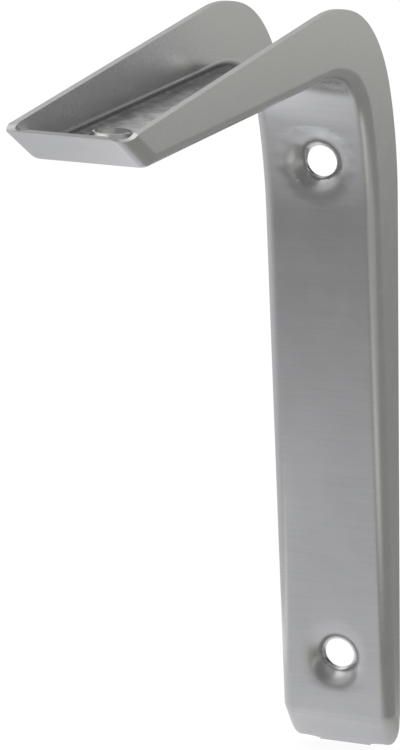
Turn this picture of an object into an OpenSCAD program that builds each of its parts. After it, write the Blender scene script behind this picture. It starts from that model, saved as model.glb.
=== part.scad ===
// Pressed steel shelf bracket: one L-shaped pan of sheet steel. The web is on the
// inside of the L, the flanges stand out to the shelf plane and the wall plane, and
// a slanted wall closes each tip. X is the width, +Y goes into the wall, +Z is up.

/* [Arms] */
// Height of the wall arm, from the shelf plane to its lower tip
wall_arm_l = 150; // [125:1:200]
// Reach of the shelf arm, from the wall plane to its tip
shelf_arm_l = 125; // [105:1:180]
// Width over the flanges
arm_w = 22; // [18:0.5:30]
// Depth of the wall arm, were it to run straight on to its lower tip
wall_tip_depth = 4.5; // [4:0.1:6]
// Depth of the shelf arm, were it to run straight on to its tip
shelf_tip_depth = 6.5; // [5.5:0.1:8]
// Slope of the wall arm's web to the wall, in degrees
wall_taper = 3.6; // [2.5:0.1:4.5]
// Slope of the shelf arm's web to the shelf, in degrees
shelf_taper = 4; // [3:0.1:5]

/* [Sheet] */
// Thickness of the sheet
sheet_t = 1.2; // [0.9:0.05:1.5]
// Outside radius of the fold between a flange and the web or an end wall
fold_r = 2.5; // [2:0.1:3]
// Outside radius of the fold between the web and an end wall
end_fold_r = 3; // [3:0.1:5]
// Slope of the shelf arm's end wall to the shelf, in degrees
shelf_end_slope = 34; // [28:1:45]
// Slope of the wall arm's end wall to the wall, in degrees
wall_end_slope = 34; // [28:1:45]
// Depth of the dip in the rim at each corner
rim_dip = 0.5; // [0.2:0.1:0.8]
// Half the width of that dip
rim_dip_w = 2.5; // [2:0.1:3]

/* [Flange corner] */
// Radius of the flanges' rounded corner
corner_r = 31; // [26:0.5:36]
// Radius that eases the corner into the shelf plane
corner_shelf_r = 47; // [38:1:56]
// Radius that eases the corner into the wall plane
corner_wall_r = 62; // [52:1:74]
// Turn of each easing arc, in degrees
corner_ease = 20; // [15:1:25]

/* [Web bend] */
// Radius of the web's bend inside the L, on the outer face
bend_r = 16; // [13:0.5:20]
// Radius that eases the bend into the shelf arm
bend_shelf_r = 38; // [32:1:46]
// Turn of that easing arc, in degrees
bend_shelf_ease = 18; // [14:1:22]
// Radius that eases the bend into the wall arm
bend_wall_r = 80; // [66:1:96]
// Turn of that easing arc, in degrees
bend_wall_ease = 14; // [11:1:17]

/* [Screw holes] */
// Diameter of each screw hole
hole_d = 5.6; // [4.5:0.1:6.8]
// Upper wall hole, below the shelf plane
upper_hole_z = 34; // [32:0.5:45]
// Lower wall hole, above the lower tip
lower_hole_up = 19; // [17:0.5:24]
// Outer shelf hole, from the tip of the shelf arm
outer_hole_in = 20.5; // [19.5:0.5:30]
// Inner shelf hole, from the wall plane
inner_hole_y = 34; // [33:0.5:45]
// Diameter over each dimple, on the outer face
dimple_d = 12.6; // [11.5:0.1:14]
// Radius of the dimple's shoulder
dimple_shoulder_r = 3; // [2.5:0.1:3.4]
// Slope of the dimple's cone to the web, in degrees
dimple_slope = 52; // [46:1:55]
// Height of the collar behind the sheet
collar_h = 2.4; // [2.2:0.05:2.6]
// Wall of the collar at its lip
collar_wall = 0.5; // [0.4:0.05:0.7]
// Slope of the collar's outside to the web, in degrees
collar_slope = 47; // [42:1:50]
// Radius where the collar's foot meets the web
collar_foot_r = 2; // [1.5:0.1:2.5]

/* [Hidden] */
$fn = 96;
// Further than any rim is from the web
far = wall_arm_l + shelf_arm_l;
// The stretches of the pan lap inside each other, each a hair deeper than the next, so
// that no two faces meet along a grazing line.
lap = 0.5;
lap_turn = 6;
hair = 0.004;
// The quarter folds along the flanges are rolled in this many flats.
fold_flats = 8;
steel = "silver";

// Directions in the side view are [y, z] unit vectors, from their angle to +Y.
function dir(a) = [cos(a), sin(a)];
// A path along the web's outer face has the tray on its right.
function tray(a) = dir(a - 90);
function cross2(u, v) = u[0] * v[1] - u[1] * v[0];
// Where the line through p at angle a meets the line through q at angle b
function meet(p, a, q, b) = p + dir(a) * cross2(q - p, dir(b)) / cross2(dir(a), dir(b));
function total(list, n) = n == 0 ? [0, 0] : list[n - 1] + total(list, n - 1);

// A bend is a list of [radius, turn] arcs, tangent to each other, that turn a path left.
function turned(arcs, n) = n == 0 ? 0 : arcs[n - 1][1] + turned(arcs, n - 1);
function steps(arcs, a) = [for (i = [0:len(arcs) - 1])
    arcs[i][0] * (tray(a + turned(arcs, i + 1)) - tray(a + turned(arcs, i)))];
// The start of each arc and the end of the last, for a bend between the line through
// corner at angle a and the line that leaves it after the whole turn
function bend_points(arcs, a, corner) =
    let (moves = steps(arcs, a), n = len(arcs), b = a + turned(arcs, n),
         start = meet(corner, a, corner - total(moves, n), b))
    [for (i = [0:n]) start + total(moves, i)];
function arc_centre(arcs, points, a, i) = points[i] - arcs[i][0] * tray(a + turned(arcs, i));

// The web's two straight faces, and the bend between them
wall_web_a = 90 + wall_taper;
shelf_web_a = 180 - shelf_taper;
wall_web_p = [-wall_tip_depth, -wall_arm_l];
shelf_web_p = [-shelf_arm_l, -shelf_tip_depth];
main_turn = shelf_web_a - wall_web_a - bend_wall_ease - bend_shelf_ease;
bend = [[bend_wall_r, bend_wall_ease], [bend_r, main_turn], [bend_shelf_r, bend_shelf_ease]];
bend_p = bend_points(bend, wall_web_a, meet(wall_web_p, wall_web_a, shelf_web_p, shelf_web_a));

// The end walls, which run out to the tips, and the tangent length of their folds
wall_end_a = 90 + wall_end_slope;
shelf_end_a = 180 - shelf_end_slope;
wall_tip = [0, -wall_arm_l];
shelf_tip = [-shelf_arm_l, 0];
wall_fold = meet(wall_tip, wall_end_a, wall_web_p, wall_web_a);
shelf_fold = meet(shelf_tip, shelf_end_a, shelf_web_p, shelf_web_a);
wall_fold_l = end_fold_r * tan((wall_end_a - wall_web_a) / 2);
shelf_fold_l = end_fold_r * tan((shelf_web_a - shelf_end_a) / 2);

// The flanges' corner, from the wall plane to the shelf plane
corner = [[corner_wall_r, corner_ease], [corner_r, 90 - 2 * corner_ease],
    [corner_shelf_r, corner_ease]];
corner_p = bend_points(corner, 90, [0, 0]);

// What the pan's cross-section encloses, from d inside the web's outer face, which is
// at y = 0, and k hairs deeper. The folds are rolled in flats. The last of them runs on
// out through the flange, and so do the sides, which trim() cuts.
module section(d, depth, k) {
    r = fold_r - d;
    fold = [for (i = [0 : fold_flats]) let (a = 90 * i / fold_flats)
        [arm_w / 2 - fold_r + r * sin(a), k * hair + fold_r - r * cos(a)]];
    last = fold[fold_flats] - fold[fold_flats - 1];
    out = fold[fold_flats] + last / norm(last) * 0.3;
    half = concat([for (i = [0 : fold_flats - 1]) fold[i]],
        [out, [arm_w / 2 + 2, out[1]], [arm_w / 2 + 2, depth]]);
    polygon(concat(half, [for (i = [len(half) - 1 : -1 : 0]) [-half[i][0], half[i][1]]]));
}

// Stands a shape on the web's outer face at p, where the path runs at angle a: its Y
// goes into the tray and its Z along the path.
module on_path(p, a)
    translate([0, p[0], p[1]])
        rotate([a - 90, 0, 0])
            children();

// A straight stretch along the path through p, between two places on it
module run(p, a, from, to, k, d)
    on_path(p, a)
        translate([0, 0, from])
            linear_extrude(to - from)
                section(d, far, k);

// Stands a shape drawn in the side view, with its extrusion, across X.
module side_view(centre)
    translate([0, centre[0], centre[1]])
        rotate([90, 0, 90])
            children();

// One arc of the web's bend inside the L, with laps at its two ends
module bend_arc(i, laps, k, d)
    side_view(arc_centre(bend, bend_p, wall_web_a, i))
        rotate_extrude(angle = bend[i][1] + laps[0] + laps[1],
                start = wall_web_a + turned(bend, i) - 90 - laps[0])
            translate([bend[i][0], 0])
                rotate(-90)
                    section(d, far, k);

// The fold between the web and an end wall, from path angle a to the lower angle b
module end_fold(start, a, b, k, d)
    side_view(start + end_fold_r * tray(a))
        rotate_extrude(angle = a - b + 2 * lap_turn, start = b + 90 - lap_turn)
            translate([end_fold_r, 0])
                rotate(90)
                    section(d, end_fold_r, k);

// All that lies on the tray side of the sheet's face d inside the outer face
module filled(d) {
    wall_a = wall_fold - wall_fold_l * dir(wall_end_a);
    wall_b = wall_fold + wall_fold_l * dir(wall_web_a);
    shelf_a = shelf_fold - shelf_fold_l * dir(shelf_web_a);
    shelf_b = shelf_fold + shelf_fold_l * dir(shelf_end_a);
    past = 10 * hair;
    run(wall_a, wall_end_a, -far, past, 0, d);
    end_fold(wall_a, wall_end_a, wall_web_a, 3, d);
    run(wall_b, wall_web_a, -past, norm(bend_p[0] - wall_b) + lap, 2, d);
    bend_arc(0, [0, lap_turn / 4], 1, d);
    bend_arc(1, [0, 0], 0, d);
    bend_arc(2, [lap_turn / 4, 0], 1, d);
    run(bend_p[3], shelf_web_a, -lap, norm(shelf_a - bend_p[3]) + past, 2, d);
    end_fold(shelf_a, shelf_web_a, shelf_end_a, 3, d);
    run(shelf_b, shelf_end_a, -past, far, 0, d);
}

// The bracket's side view out to the wall plane and the shelf plane. Each arc of the
// flanges' corner is a sector, and the middle one laps inside its neighbours.
module outline() {
    polygon([corner_p[0], arc_centre(corner, corner_p, 90, 1), corner_p[3], [-far, 0],
        [-far, -far], [0, -far]]);
    corner_arc(0, 1, 0);
    corner_arc(1, 2, lap_turn);
    corner_arc(2, 1, 0);
}

module corner_arc(i, k, lap) {
    c = arc_centre(corner, corner_p, 90, i);
    r = corner[i][0];
    a = turned(corner, i) - lap;
    b = turned(corner, i + 1) + lap;
    intersection() {
        translate(c)
            circle(r - k * hair);
        polygon([c, c + 2 * r * dir(a), c + 2 * r * dir(b)]);
    }
}

// Cuts a solid to a width, between planes square to X, and to an outline.
module trim(width)
    side_view([0, 0])
        linear_extrude(width, center = true)
            children();

module pan()
    difference() {
        intersection() {
            filled(0);
            trim(arm_w)
                outline();
        }
        intersection() {
            filled(sheet_t);
            trim(arm_w - 2 * sheet_t)
                square(3 * far, center = true);
        }
    }

// The web's outer face where the path has come to height z on the wall arm, or to
// reach y on the shelf arm: its side-view point and the path's angle there
function on_wall(z) =
    let (c = arc_centre(bend, bend_p, wall_web_a, 0), r = bend[0][0], up = z - c[1],
         a = z > bend_p[0][1] ? asin(up / r) + 90 : wall_web_a)
    [a > wall_web_a ? c + r * tray(a) : wall_web_p + dir(a) * (z - wall_web_p[1]) / sin(a), a];
function on_shelf(y) =
    let (c = arc_centre(bend, bend_p, wall_web_a, 2), r = bend[2][0], in = y - c[0],
         a = y > bend_p[3][0] ? 90 + acos(in / r) : shelf_web_a)
    [a < shelf_web_a ? c + r * tray(a) : shelf_web_p + dir(a) * (y - shelf_web_p[0]) / cos(a), a];

// The dimple's profiles have the radius as X and the depth below the outer face as Y.
hole_r = hole_d / 2;
dimple_r = dimple_d / 2;
// The slopes at which the dimple's shoulder and the collar's foot leave the sheet
rim_slope = 4;
foot_slope = 15;
// How far a profile runs on, past the rim, to clear a sheet that bends
reach = 2.5;
// Where an arc that lies before its centre c has the slope a
function slope_point(c, r, a) = c - r * [sin(a), cos(a)];
shoulder_c = [dimple_r, 0] + dimple_shoulder_r * [sin(rim_slope), cos(rim_slope)];
cone_top = slope_point(shoulder_c, dimple_shoulder_r, dimple_slope);
cone_tip = [0, cone_top[1] + cone_top[0] * tan(dimple_slope)];
lip = [hole_r + collar_wall, sheet_t + collar_h];
collar_foot_y = sheet_t + collar_foot_r * (cos(rim_slope) - cos(collar_slope));
collar_foot = [lip[0] + (lip[1] - collar_foot_y) / tan(collar_slope), collar_foot_y];
fillet_c = collar_foot + collar_foot_r * [sin(collar_slope), cos(collar_slope)];
// The fillet's outer end, and how far on it runs down to the middle of the sheet
fillet_end = slope_point(fillet_c, collar_foot_r, foot_slope);
sunk = fillet_end[1] - sheet_t / 2;
// The land of each bore runs from the cone to the lip.
land_top = cone_tip[1] - hole_r * tan(dimple_slope);
land_y = (land_top + lip[1]) / 2;

// What the dimple takes out of the web's outer face, where that bends by edge degrees
module dimple_profile(edge)
    difference() {
        polygon([[0, -1], [dimple_r + reach, -1], [dimple_r + reach, -reach * tan(edge)],
            [dimple_r, 0], cone_top, cone_tip]);
        translate(shoulder_c)
            circle(dimple_shoulder_r);
    }

// What stands on the web's tray side round the hole
module collar_profile()
    difference() {
        polygon([[0, sheet_t / 2], fillet_end + sunk * [1 / tan(foot_slope), -1], fillet_end,
            collar_foot, lip, [0, lip[1]]]);
        translate(fillet_c)
            circle(collar_foot_r);
    }

// A dimple's seat is the point and path angle of the plane that it is pressed from: it
// lies halfway between the face and the chord over the dimple.
function seat(before, at, after) =
    let (chord = after[0] - before[0])
    [(before[0] + after[0]) / 4 + at[0] / 2, atan2(chord[1], chord[0])];
// The seats whose axes cross the bores halfway along their lands
function wall_seat(z) = let (at = z - land_y * sin(on_wall(z)[1] - 90))
    seat(on_wall(at - dimple_r), on_wall(at), on_wall(at + dimple_r));
function shelf_seat(y) = let (at = y - land_y * cos(on_shelf(y)[1] - 90))
    seat(on_shelf(at + dimple_r), on_shelf(at), on_shelf(at - dimple_r));
// Where a seat's axis is at the middle of the land
function land(seat) = seat[0] + land_y * tray(seat[1]);

// The slope that clears the sheet round each hole
flat_edge = 4;
upper_edge = 10;
inner_edge = 18;
upper_z = -upper_hole_z;
wall_holes = [[upper_z, upper_edge], [lower_hole_up - wall_arm_l, flat_edge]];
shelf_holes = [[outer_hole_in - shelf_arm_l, flat_edge], [-inner_hole_y, inner_edge]];
// The whole is moved so that the land of the upper wall hole is at the origin.
origin = [land(wall_seat(upper_z))[0], upper_z];

// Turns a profile about a seat's axis
module pressed(seat)
    on_path(seat[0], seat[1])
        rotate([-90, 0, 0])
            rotate_extrude()
                children();

module dimples() {
    for (h = wall_holes)
        pressed(wall_seat(h[0]))
            dimple_profile(h[1]);
    for (h = shelf_holes)
        pressed(shelf_seat(h[0]))
            dimple_profile(h[1]);
}

module collars() {
    for (h = wall_holes)
        pressed(wall_seat(h[0]))
            collar_profile();
    for (h = shelf_holes)
        pressed(shelf_seat(h[0]))
            collar_profile();
}

// The bores are square to the wall and to the shelf.
module bores() {
    for (h = wall_holes)
        translate([0, land(wall_seat(h[0]))[0], h[0]])
            rotate([90, 0, 0])
                cylinder(h = 2 * lip[1], r = hole_r, center = true);
    for (h = shelf_holes)
        translate([0, h[0], land(shelf_seat(h[0]))[1]])
            cylinder(h = 2 * lip[1], r = hole_r, center = true);
}

// The shallow dips that the trim leaves in the rim at the corners of both end walls
module rim_dips() {
    r = (rim_dip_w * rim_dip_w + rim_dip * rim_dip) / (2 * rim_dip);
    in = arm_w / 2 - fold_r / 2;
    for (s = [-1, 1]) {
        translate([s * in, fold_r - shelf_arm_l, r - rim_dip])
            rotate([90, 0, s * 45])
                cylinder(h = 4 * fold_r, r = r, center = true);
        translate([s * in, r - rim_dip, fold_r - wall_arm_l])
            rotate([0, s * 45, 0])
                cylinder(h = 4 * fold_r, r = r, center = true);
    }
}

module bracket()
    color(steel)
        translate([0, -origin[0], -origin[1]])
            difference() {
                union() {
                    pan();
                    collars();
                }
                dimples();
                bores();
                rim_dips();
            }

bracket();
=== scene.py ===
import math

import bmesh
import bpy
from mathutils import Matrix, Vector


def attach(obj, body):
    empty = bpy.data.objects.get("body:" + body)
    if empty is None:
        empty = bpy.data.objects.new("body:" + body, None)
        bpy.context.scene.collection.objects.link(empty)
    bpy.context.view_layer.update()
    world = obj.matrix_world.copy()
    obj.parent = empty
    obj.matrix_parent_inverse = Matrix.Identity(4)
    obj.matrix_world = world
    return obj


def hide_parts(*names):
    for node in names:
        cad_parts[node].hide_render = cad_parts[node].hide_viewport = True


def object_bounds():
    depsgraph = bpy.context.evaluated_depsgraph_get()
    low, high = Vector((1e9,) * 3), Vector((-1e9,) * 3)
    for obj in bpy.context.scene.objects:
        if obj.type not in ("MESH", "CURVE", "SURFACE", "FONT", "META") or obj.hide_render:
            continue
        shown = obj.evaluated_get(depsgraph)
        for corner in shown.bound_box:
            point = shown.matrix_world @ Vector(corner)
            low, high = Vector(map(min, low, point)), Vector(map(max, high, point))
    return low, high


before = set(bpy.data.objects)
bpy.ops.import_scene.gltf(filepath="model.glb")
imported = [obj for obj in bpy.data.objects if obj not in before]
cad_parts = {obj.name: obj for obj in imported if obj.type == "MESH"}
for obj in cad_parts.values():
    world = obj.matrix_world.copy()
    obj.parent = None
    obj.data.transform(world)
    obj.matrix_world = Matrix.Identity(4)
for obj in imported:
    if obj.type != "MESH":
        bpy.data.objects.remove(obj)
cad_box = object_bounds()

MM = 0.001
# Up the wall arm, and out along the shelf arm
UP, OUT = Vector((0, 0, 1)), Vector((0, -1, 0))

# ---------------------------------------------------------------- camera
# The bracket's own corner, where its wall plane meets its shelf plane
CORNER = Vector((0, 9.34458, 34.0)) * MM
AZIMUTH = math.radians(22.10)
ELEVATION = math.radians(17.91)
ROLL = math.radians(1.04)
FOCAL_PX = 4710.49
DISTANCE = 865.20 * MM
LONG_SIDE_PX = 750
SENSOR_MM = 36.0
NEAR_CLIP, FAR_CLIP = 0.01, 20
# A point half way down the wall arm, and how far it lies right of the view's middle
# and above it
AIM = CORNER + Vector((0, 0, -75.0)) * MM
SHIFT_RIGHT = 26.10 * MM
SHIFT_UP = 2.17 * MM


def make_camera():
    forward = Vector((-math.sin(AZIMUTH) * math.cos(ELEVATION),
                      math.cos(AZIMUTH) * math.cos(ELEVATION),
                      -math.sin(ELEVATION)))
    right = forward.cross(UP).normalized()
    up = right.cross(forward)
    turn = Matrix.Rotation(ROLL, 3, forward)
    right, up = turn @ right, turn @ up
    place = AIM - forward * DISTANCE - right * SHIFT_RIGHT - up * SHIFT_UP
    data = bpy.data.cameras.new("camera")
    data.sensor_fit = "AUTO"
    data.sensor_width = SENSOR_MM
    data.lens = FOCAL_PX / LONG_SIDE_PX * SENSOR_MM
    data.clip_start = NEAR_CLIP
    data.clip_end = FAR_CLIP
    camera = bpy.data.objects.new("camera", data)
    axes = Matrix((right, up, -forward)).transposed()
    camera.matrix_world = Matrix.Translation(place) @ axes.to_4x4()
    bpy.context.scene.collection.objects.link(camera)
    bpy.context.scene.camera = camera


# ------------------------------------------------------------- node graphs
class Graph:
    """Short calls for a node tree. An input is a number, a node or a node's output."""

    def __init__(self, tree):
        self.tree = tree
        tree.nodes.clear()

    def add(self, kind, inputs=None, **props):
        node = self.tree.nodes.new(kind)
        for name, value in props.items():
            setattr(node, name, value)
        for name, value in (inputs or {}).items():
            self.put(node.inputs[name], value)
        return node

    def put(self, socket, value):
        if isinstance(value, bpy.types.NodeSocket):
            self.tree.links.new(value, socket)
        elif isinstance(value, bpy.types.Node):
            self.tree.links.new(value.outputs[0], socket)
        else:
            socket.default_value = value

    def math(self, op, a, b=0.0, c=0.0):
        node = self.add("ShaderNodeMath", operation=op)
        for socket, value in zip(node.inputs, (a, b, c)):
            self.put(socket, value)
        return node.outputs[0]

    def plus(self, a, b):
        return self.math("ADD", a, b)

    def times(self, a, b):
        return self.math("MULTIPLY", a, b)

    def scaled(self, value, by, plus):
        return self.math("MULTIPLY_ADD", value, by, plus)

    def ramp(self, value, a, b, to_a=0.0, to_b=1.0, smooth=True):
        """Goes from to_a at a to to_b at b, and stays level outside them."""
        return self.add("ShaderNodeMapRange",
                        {"Value": value, "From Min": a, "From Max": b,
                         "To Min": to_a, "To Max": to_b},
                        interpolation_type="SMOOTHSTEP" if smooth else "LINEAR",
                        clamp=True).outputs["Result"]

    def noise(self, vector, scale, detail, rough):
        return self.add("ShaderNodeTexNoise",
                        {"Vector": vector, "Scale": scale, "Detail": detail,
                         "Roughness": rough}).outputs["Fac"]

    def stretched(self, vector, scale):
        return self.add("ShaderNodeMapping", {"Vector": vector, "Scale": scale}
                        ).outputs["Vector"]

    def split(self, vector):
        return self.add("ShaderNodeSeparateXYZ", {"Vector": vector}).outputs


# ---------------------------------------------------------------- material
STEEL = (0.610, 0.610, 0.608)

# How finely each pattern repeats, in features a metre. The grain and the streaks run
# along X, across the arms, so they repeat less often that way.
GRAIN_SCALE = (90, 1800, 1800)
STREAK_SCALE = (25, 420, 420)
CLOUD_SCALE = 170.0
MOTTLE_SCALE = 520.0
SPECK_SCALE = 1500.0
# The part of the mottling's noise that shows
MOTTLE_BAND = (0.38, 0.64)

# What each pattern is multiplied by, and what is then added
GRAIN_TONE = (0.12, 0.94)
STREAK_TONE = (0.07, 0.965)
CLOUD_TONE = (0.13, 0.935)
# The inside's tone is a painted sheen, which lifts the web's inside lighter
INSIDE_PAINTED_SHEEN = (0.26, 0.08)
STREAK_ROUGH = (0.06, 0.235)
CLOUD_ROUGH = (0.08, -0.04)
INSIDE_ROUGH = (0.10, 0.20)

GRAIN_HEIGHT = 0.5
STREAK_HEIGHT = 0.18
SPECK_HEIGHT = 0.08
BUMP_STRENGTH = 0.12
BUMP_DISTANCE = 0.02 * MM

# How squarely a face looks up, or into the wall, where it is the web's inside with its
# painted sheen, and the heights and depths at which that stops, just short of the rims
FACING = (0.75, 0.95)
BELOW_SHELF_RIM = (0.0326, 0.0334, 1.0, 0.0)
BEFORE_WALL_RIM = (0.0080, 0.0088, 1.0, 0.0)


def brushed_steel():
    material = bpy.data.materials.new("brushed_steel")
    material.use_nodes = True
    g = Graph(material.node_tree)
    out = g.add("ShaderNodeOutputMaterial")
    shader = g.add("ShaderNodeBsdfPrincipled", {"Metallic": 1.0})
    g.put(out.inputs["Surface"], shader.outputs["BSDF"])
    coordinates = g.add("ShaderNodeTexCoord")
    place = coordinates.outputs["Object"]

    # Rolling grain runs across the arms, fine and a little uneven.
    grain = g.noise(g.stretched(place, GRAIN_SCALE), 1.0, 3.0, 0.6)
    streak = g.noise(g.stretched(place, STREAK_SCALE), 1.0, 2.0, 0.5)
    cloud = g.noise(place, CLOUD_SCALE, 3.0, 0.55)
    speck = g.noise(place, SPECK_SCALE, 2.0, 0.6)

    tone = g.scaled(grain, *GRAIN_TONE)
    tone = g.times(tone, g.scaled(streak, *STREAK_TONE))
    tone = g.times(tone, g.scaled(cloud, *CLOUD_TONE))

    # The web's inside is mottled and less glossy, and painted lighter, a painted sheen on
    # the faces that look up in the shelf arm and into the wall in the wall arm.
    _, y, z = g.split(place)
    _, ny, nz = g.split(coordinates.outputs["Normal"])
    inside_sheen_and_matt = g.math("MAXIMUM",
                    g.times(g.ramp(nz, *FACING), g.ramp(z, *BELOW_SHELF_RIM)),
                    g.times(g.ramp(ny, *FACING), g.ramp(y, *BEFORE_WALL_RIM)))
    mottle = g.ramp(g.noise(place, MOTTLE_SCALE, 3.0, 0.6), *MOTTLE_BAND)
    # Painted sheen: there the colour is lifted 8 to 34 percent, most where it is mottled.
    tone = g.times(tone, g.scaled(inside_sheen_and_matt, g.scaled(mottle, *INSIDE_PAINTED_SHEEN), 1.0))
    red, green, blue = STEEL
    colour = g.add("ShaderNodeCombineColor",
                   {"Red": g.times(tone, red), "Green": g.times(tone, green),
                    "Blue": g.times(tone, blue)})
    g.put(shader.inputs["Base Color"], colour.outputs["Color"])

    rough = g.scaled(streak, *STREAK_ROUGH)
    rough = g.plus(rough, g.scaled(cloud, *CLOUD_ROUGH))
    rough = g.plus(rough, g.times(inside_sheen_and_matt, g.scaled(mottle, *INSIDE_ROUGH)))
    g.put(shader.inputs["Roughness"], rough)

    height = g.plus(g.times(grain, GRAIN_HEIGHT),
                    g.plus(g.times(streak, STREAK_HEIGHT),
                           g.times(speck, SPECK_HEIGHT)))
    bump = g.add("ShaderNodeBump", {"Strength": BUMP_STRENGTH,
                                    "Distance": BUMP_DISTANCE, "Height": height})
    g.put(shader.inputs["Normal"], bump.outputs["Normal"])
    return material


# ------------------------------------------------------------- the bracket
MERGE = 0.009 * MM
SHARP = math.radians(28)
NORMALS_WEIGHT = 80

# Each hole's middle on its axis, the way it is drilled, the way its arm runs, and the
# slope of the CAD's land along the arm, which is turned square to the bore
HOLES = ((Vector((0, 0, 0)) * MM, OUT, UP, 0.243),
         (Vector((0, 0, -97.0)) * MM, OUT, UP, 0.07),
         (Vector((0, -24.655, 0)) * MM, UP, OUT, -0.14),
         (Vector((0, -95.155, 0)) * MM, UP, OUT, -0.03))
BORE_R = 2.8 * MM
# The bore is drawn this much wider than the CAD's, over its whole length, and a vertex
# this near to the CAD's bore belongs to it.
BORE_GAIN = 0.14 * MM
BORE_SKIN = 0.04 * MM
# The land turns as a whole as far as LAND_R, less and less as far as DIMPLE_R, and the
# sheet is smoothed from LAND_R to SOFT_R.
LAND_R = 3.3 * MM
DIMPLE_R = 6.8 * MM
SOFT_R = 7.7 * MM
FINE_EDGE = 0.75 * MM
REFINE_PASSES = 9
SOFT_PASSES = 44
SOFT_FACTOR = 0.5


def from_axis(point, middle, way):
    away = point - middle
    return away - way * away.dot(way)


def halve(edge):
    """Splits an edge between two triangles, which become four."""
    far = [(face, next(v for v in face.verts if v not in edge.verts))
           for face in edge.link_faces]
    _, middle = bmesh.utils.edge_split(edge, edge.verts[0], 0.5)
    for face, corner in far:
        bmesh.utils.face_split(face, middle, corner)


def is_coarse(edge, middle, way):
    """A long edge that passes through the ring to be softened."""
    if edge.calc_length() < FINE_EDGE:
        return False
    a, b = (from_axis(v.co, middle, way) for v in edge.verts)
    run = b - a
    part = -a.dot(run) / run.dot(run) if run.length > MERGE else 0.0
    nearest = a + run * max(0.0, min(1.0, part))
    return max(a.length, b.length) > LAND_R and nearest.length < SOFT_R


def soften_holes(mesh):
    """Gives each dimple the soft shoulder that a press leaves, and squares its land."""
    for middle, way, along, lean in HOLES:
        for _ in range(REFINE_PASSES):
            coarse = [e for e in mesh.edges if is_coarse(e, middle, way)]
            for edge in sorted(coarse, key=lambda e: -e.calc_length()):
                halve(edge)
        ring = [(v, from_axis(v.co, middle, way)) for v in mesh.verts]
        ring = [(v, away) for v, away in ring if away.length < SOFT_R]
        for v, away in ring:
            fade = max(0.0, min(1.0, (DIMPLE_R - away.length) / (DIMPLE_R - LAND_R)))
            fade = fade * fade * (3 - 2 * fade)
            v.co -= way * (lean * away.dot(along) * fade)
            if away.length < BORE_R + BORE_SKIN:
                v.co += away.normalized() * BORE_GAIN
        soft = [v for v, away in ring if away.length > LAND_R]
        for _ in range(SOFT_PASSES):
            bmesh.ops.smooth_vert(mesh, verts=soft, factor=SOFT_FACTOR, use_axis_x=True,
                                  use_axis_y=True, use_axis_z=True)


def make_bracket():
    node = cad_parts["bracket"]
    data = node.data.copy()
    data.name = "bracket_sheet"
    mesh = bmesh.new()
    mesh.from_mesh(data)
    bmesh.ops.remove_doubles(mesh, verts=mesh.verts, dist=MERGE)
    bmesh.ops.dissolve_degenerate(mesh, dist=MERGE / 2, edges=mesh.edges)
    soften_holes(mesh)
    bmesh.ops.recalc_face_normals(mesh, faces=mesh.faces)
    for face in mesh.faces:
        face.smooth = True
    for edge in mesh.edges:
        edge.smooth = not (edge.is_manifold and edge.calc_face_angle() > SHARP)
    mesh.to_mesh(data)
    mesh.free()
    piece = bpy.data.objects.new("bracket_sheet", data)
    bpy.context.scene.collection.objects.link(piece)
    data.materials.clear()
    data.materials.append(brushed_steel())
    normals = piece.modifiers.new("flat faces stay flat", "WEIGHTED_NORMAL")
    normals.keep_sharp = True
    normals.weight = NORMALS_WEIGHT
    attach(piece, "root")
    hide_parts("bracket")


# ------------------------------------------------------------------ studio
FLOOR_HALF = 1.2
FLOOR_DROP = 0.2 * MM
FLOOR_GREY = (0.18, 0.18, 0.18, 1)
# How bright the floor looks to the camera
FLOOR_SHOWN = 0.90
# The painted reflection's tint, right and left of the bracket
REFLECTION_TINT_RIGHT = (1.0, 1.0, 0.95, 1)
REFLECTION_TINT_LEFT = (0.975, 0.98, 1.01, 1)

# The floor's painted reflection: it glows only to rays that the metal mirrors. Each line
# is where a level starts and stops to change, in metres on the floor, and the levels
# there.
LEFT = (0.002, 0.026, 1.0, 0.0)
RISE = (-0.245, -0.03, 0.0, 0.33)
BEHIND = (-0.03, 0.03, 0.0, 0.24)
BEHIND_ACROSS = (-0.06, -0.03, 0.1, 1.0)
PATCH_RIGHT = (-0.056, -0.040, 0.38, 0.0)
PATCH_LEFT = (-0.072, -0.060)
PATCH_FRONT = (-0.15, -0.07)
BACKGROUND = (0.40, 0.58, 0.22, 0.40)
FAR_CORNER_X = (0.165, 0.21, 0.0, 0.14)
FAR_CORNER_Y = (0.28, 0.38)
FOREGROUND = (-0.24, -0.15, 0.74, 1.0)
NEAR_ACROSS = (0.01, 0.09, 0.0, 0.17)
NEAR_BACK = (-0.12, -0.03, 1.0, 0.0)
SPOT_LEFT = (0.02, 0.06)
SPOT_RIGHT = (0.09, 0.13, 0.32, 0.0)
SPOT_FRONT = (-0.19, -0.13)
SPOT_BACK = (-0.09, -0.03, 1.0, 0.0)

# The room as the metal mirrors it, in the same way, by direction
WINDOW_ACROSS = (-0.34, -0.02, 1.0, 0.0)
WINDOW_SILL = (0.0, 0.35, 0.15, 0.60)
WINDOW_HEAD = (0.50, 0.85, 0.0, 0.48)
WALLS = (-0.2, 0.6, 0.34, 0.08)
HORIZON = (0.02, 0.22, 0.42, 0.0)
CEILING = (0.45, 0.80, 0.0, 0.22)
ROOM_FRONT = (-0.9, 0.3, 0.60, 1.0)
WHITE = (1, 1, 1, 1)

KEY_PLACE = (-0.7, 0.5, 0.8)
KEY_TARGET = (0, -0.03, -0.03)
KEY_SIZE = (1.0, 1.0)
KEY_WATTS = 1.4


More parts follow.
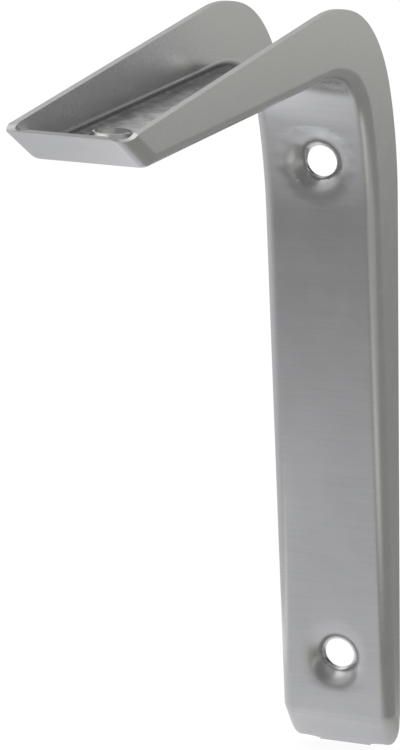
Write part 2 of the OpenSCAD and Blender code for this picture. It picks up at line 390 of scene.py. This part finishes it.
def painted_floor_reflection(g, x, y, left):
    """The level of the painted reflection, how brightly the floor glows in the metal's
    reflections. It is brightest left of the bracket, where it rises towards the wall, with
    a patch further left. Elsewhere it is dimmer, with a lighter spot in front of the wall
    arm, and lighter again far behind."""
    along = g.plus(g.ramp(y, *RISE, smooth=False),
                   g.times(g.ramp(y, *BEHIND), g.ramp(x, *BEHIND_ACROSS)))
    patch = g.times(g.ramp(x, *PATCH_RIGHT),
                    g.times(g.ramp(x, *PATCH_LEFT), g.ramp(y, *PATCH_FRONT)))
    base = g.plus(g.ramp(y, *BACKGROUND),
                  g.times(g.ramp(x, *FAR_CORNER_X), g.ramp(y, *FAR_CORNER_Y)))
    base = g.times(base, g.ramp(y, *FOREGROUND))
    near = g.times(g.ramp(x, *NEAR_ACROSS), g.ramp(y, *NEAR_BACK))
    spot = g.times(g.times(g.ramp(x, *SPOT_LEFT), g.ramp(x, *SPOT_RIGHT)),
                   g.times(g.ramp(y, *SPOT_FRONT), g.ramp(y, *SPOT_BACK)))
    return g.plus(g.times(left, g.plus(along, patch)),
                  g.plus(base, g.plus(near, spot)))


def make_floor():
    z = cad_box[0][2] - FLOOR_DROP
    data = bpy.data.meshes.new("floor")
    data.from_pydata([(x * FLOOR_HALF, y * FLOOR_HALF, z)
                      for x, y in ((-1, -1), (1, -1), (1, 1), (-1, 1))],
                     [], [(0, 1, 2, 3)])
    floor = bpy.data.objects.new("floor", data)
    bpy.context.scene.collection.objects.link(floor)
    material = bpy.data.materials.new("pale_floor_painted_reflection")
    material.use_nodes = True
    g = Graph(material.node_tree)
    out = g.add("ShaderNodeOutputMaterial")
    light = g.add("ShaderNodeLightPath")
    x, y, _ = g.split(g.add("ShaderNodeTexCoord").outputs["Object"])
    left = g.ramp(x, *LEFT)
    painted_reflection_level = painted_floor_reflection(g, x, y, left)
    painted_reflection_tint = g.add("ShaderNodeMix", {"Factor": left}, data_type="RGBA")
    g.put(painted_reflection_tint.inputs["A"], REFLECTION_TINT_RIGHT)
    g.put(painted_reflection_tint.inputs["B"], REFLECTION_TINT_LEFT)
    matt = g.add("ShaderNodeBsdfDiffuse", {"Color": FLOOR_GREY})
    shown = g.add("ShaderNodeEmission", {
        "Color": WHITE,
        "Strength": g.times(light.outputs["Is Camera Ray"], FLOOR_SHOWN)})
    # Painted reflection: the floor glows to glossy rays only, at the levels set above.
    painted_reflection = g.add("ShaderNodeEmission", {
        "Color": painted_reflection_tint.outputs["Result"],
        "Strength": g.times(light.outputs["Is Glossy Ray"], painted_reflection_level)})
    glow = g.add("ShaderNodeAddShader")
    g.put(glow.inputs[0], shown)
    g.put(glow.inputs[1], painted_reflection)
    both = g.add("ShaderNodeAddShader")
    g.put(both.inputs[0], matt)
    g.put(both.inputs[1], glow)
    g.put(out.inputs["Surface"], both)
    data.materials.append(material)


def make_world():
    world = bpy.data.worlds.new("studio")
    bpy.context.scene.world = world
    world.use_nodes = True
    g = Graph(world.node_tree)
    out = g.add("ShaderNodeOutputWorld")
    light = g.add("ShaderNodeLightPath")
    x, y, z = g.split(g.add("ShaderNodeTexCoord").outputs["Generated"])
    # The room is light overhead and to the left, where the window would be, dim at the
    # right, and dimmest in front.
    window = g.times(g.ramp(x, *WINDOW_ACROSS),
                     g.plus(g.ramp(z, *WINDOW_SILL), g.ramp(z, *WINDOW_HEAD)))
    dim = g.math("MAXIMUM", g.ramp(y, *WALLS), g.ramp(z, *HORIZON))
    dim = g.plus(dim, g.ramp(z, *CEILING))
    level = g.times(g.plus(dim, window), g.ramp(y, *ROOM_FRONT))
    studio = g.add("ShaderNodeBackground", {"Color": WHITE, "Strength": level})
    white = g.add("ShaderNodeBackground", {"Color": WHITE, "Strength": 1.0})
    mix = g.add("ShaderNodeMixShader", {"Fac": light.outputs["Is Camera Ray"]})
    g.put(mix.inputs[1], studio)
    g.put(mix.inputs[2], white)
    g.put(out.inputs["Surface"], mix)


def make_lamp(name, place, target, size, watts):
    data = bpy.data.lights.new(name, "AREA")
    data.shape = "RECTANGLE"
    data.size, data.size_y = size
    data.energy = watts
    lamp = bpy.data.objects.new(name, data)
    place, target = Vector(place), Vector(target)
    lamp.matrix_world = Matrix.Translation(place) @ (
        target - place).to_track_quat("-Z", "Y").to_matrix().to_4x4()
    bpy.context.scene.collection.objects.link(lamp)


bpy.context.scene.view_settings.view_transform = "Standard"
make_camera()
make_world()
make_floor()
make_bracket()
make_lamp("key", KEY_PLACE, KEY_TARGET, KEY_SIZE, KEY_WATTS)
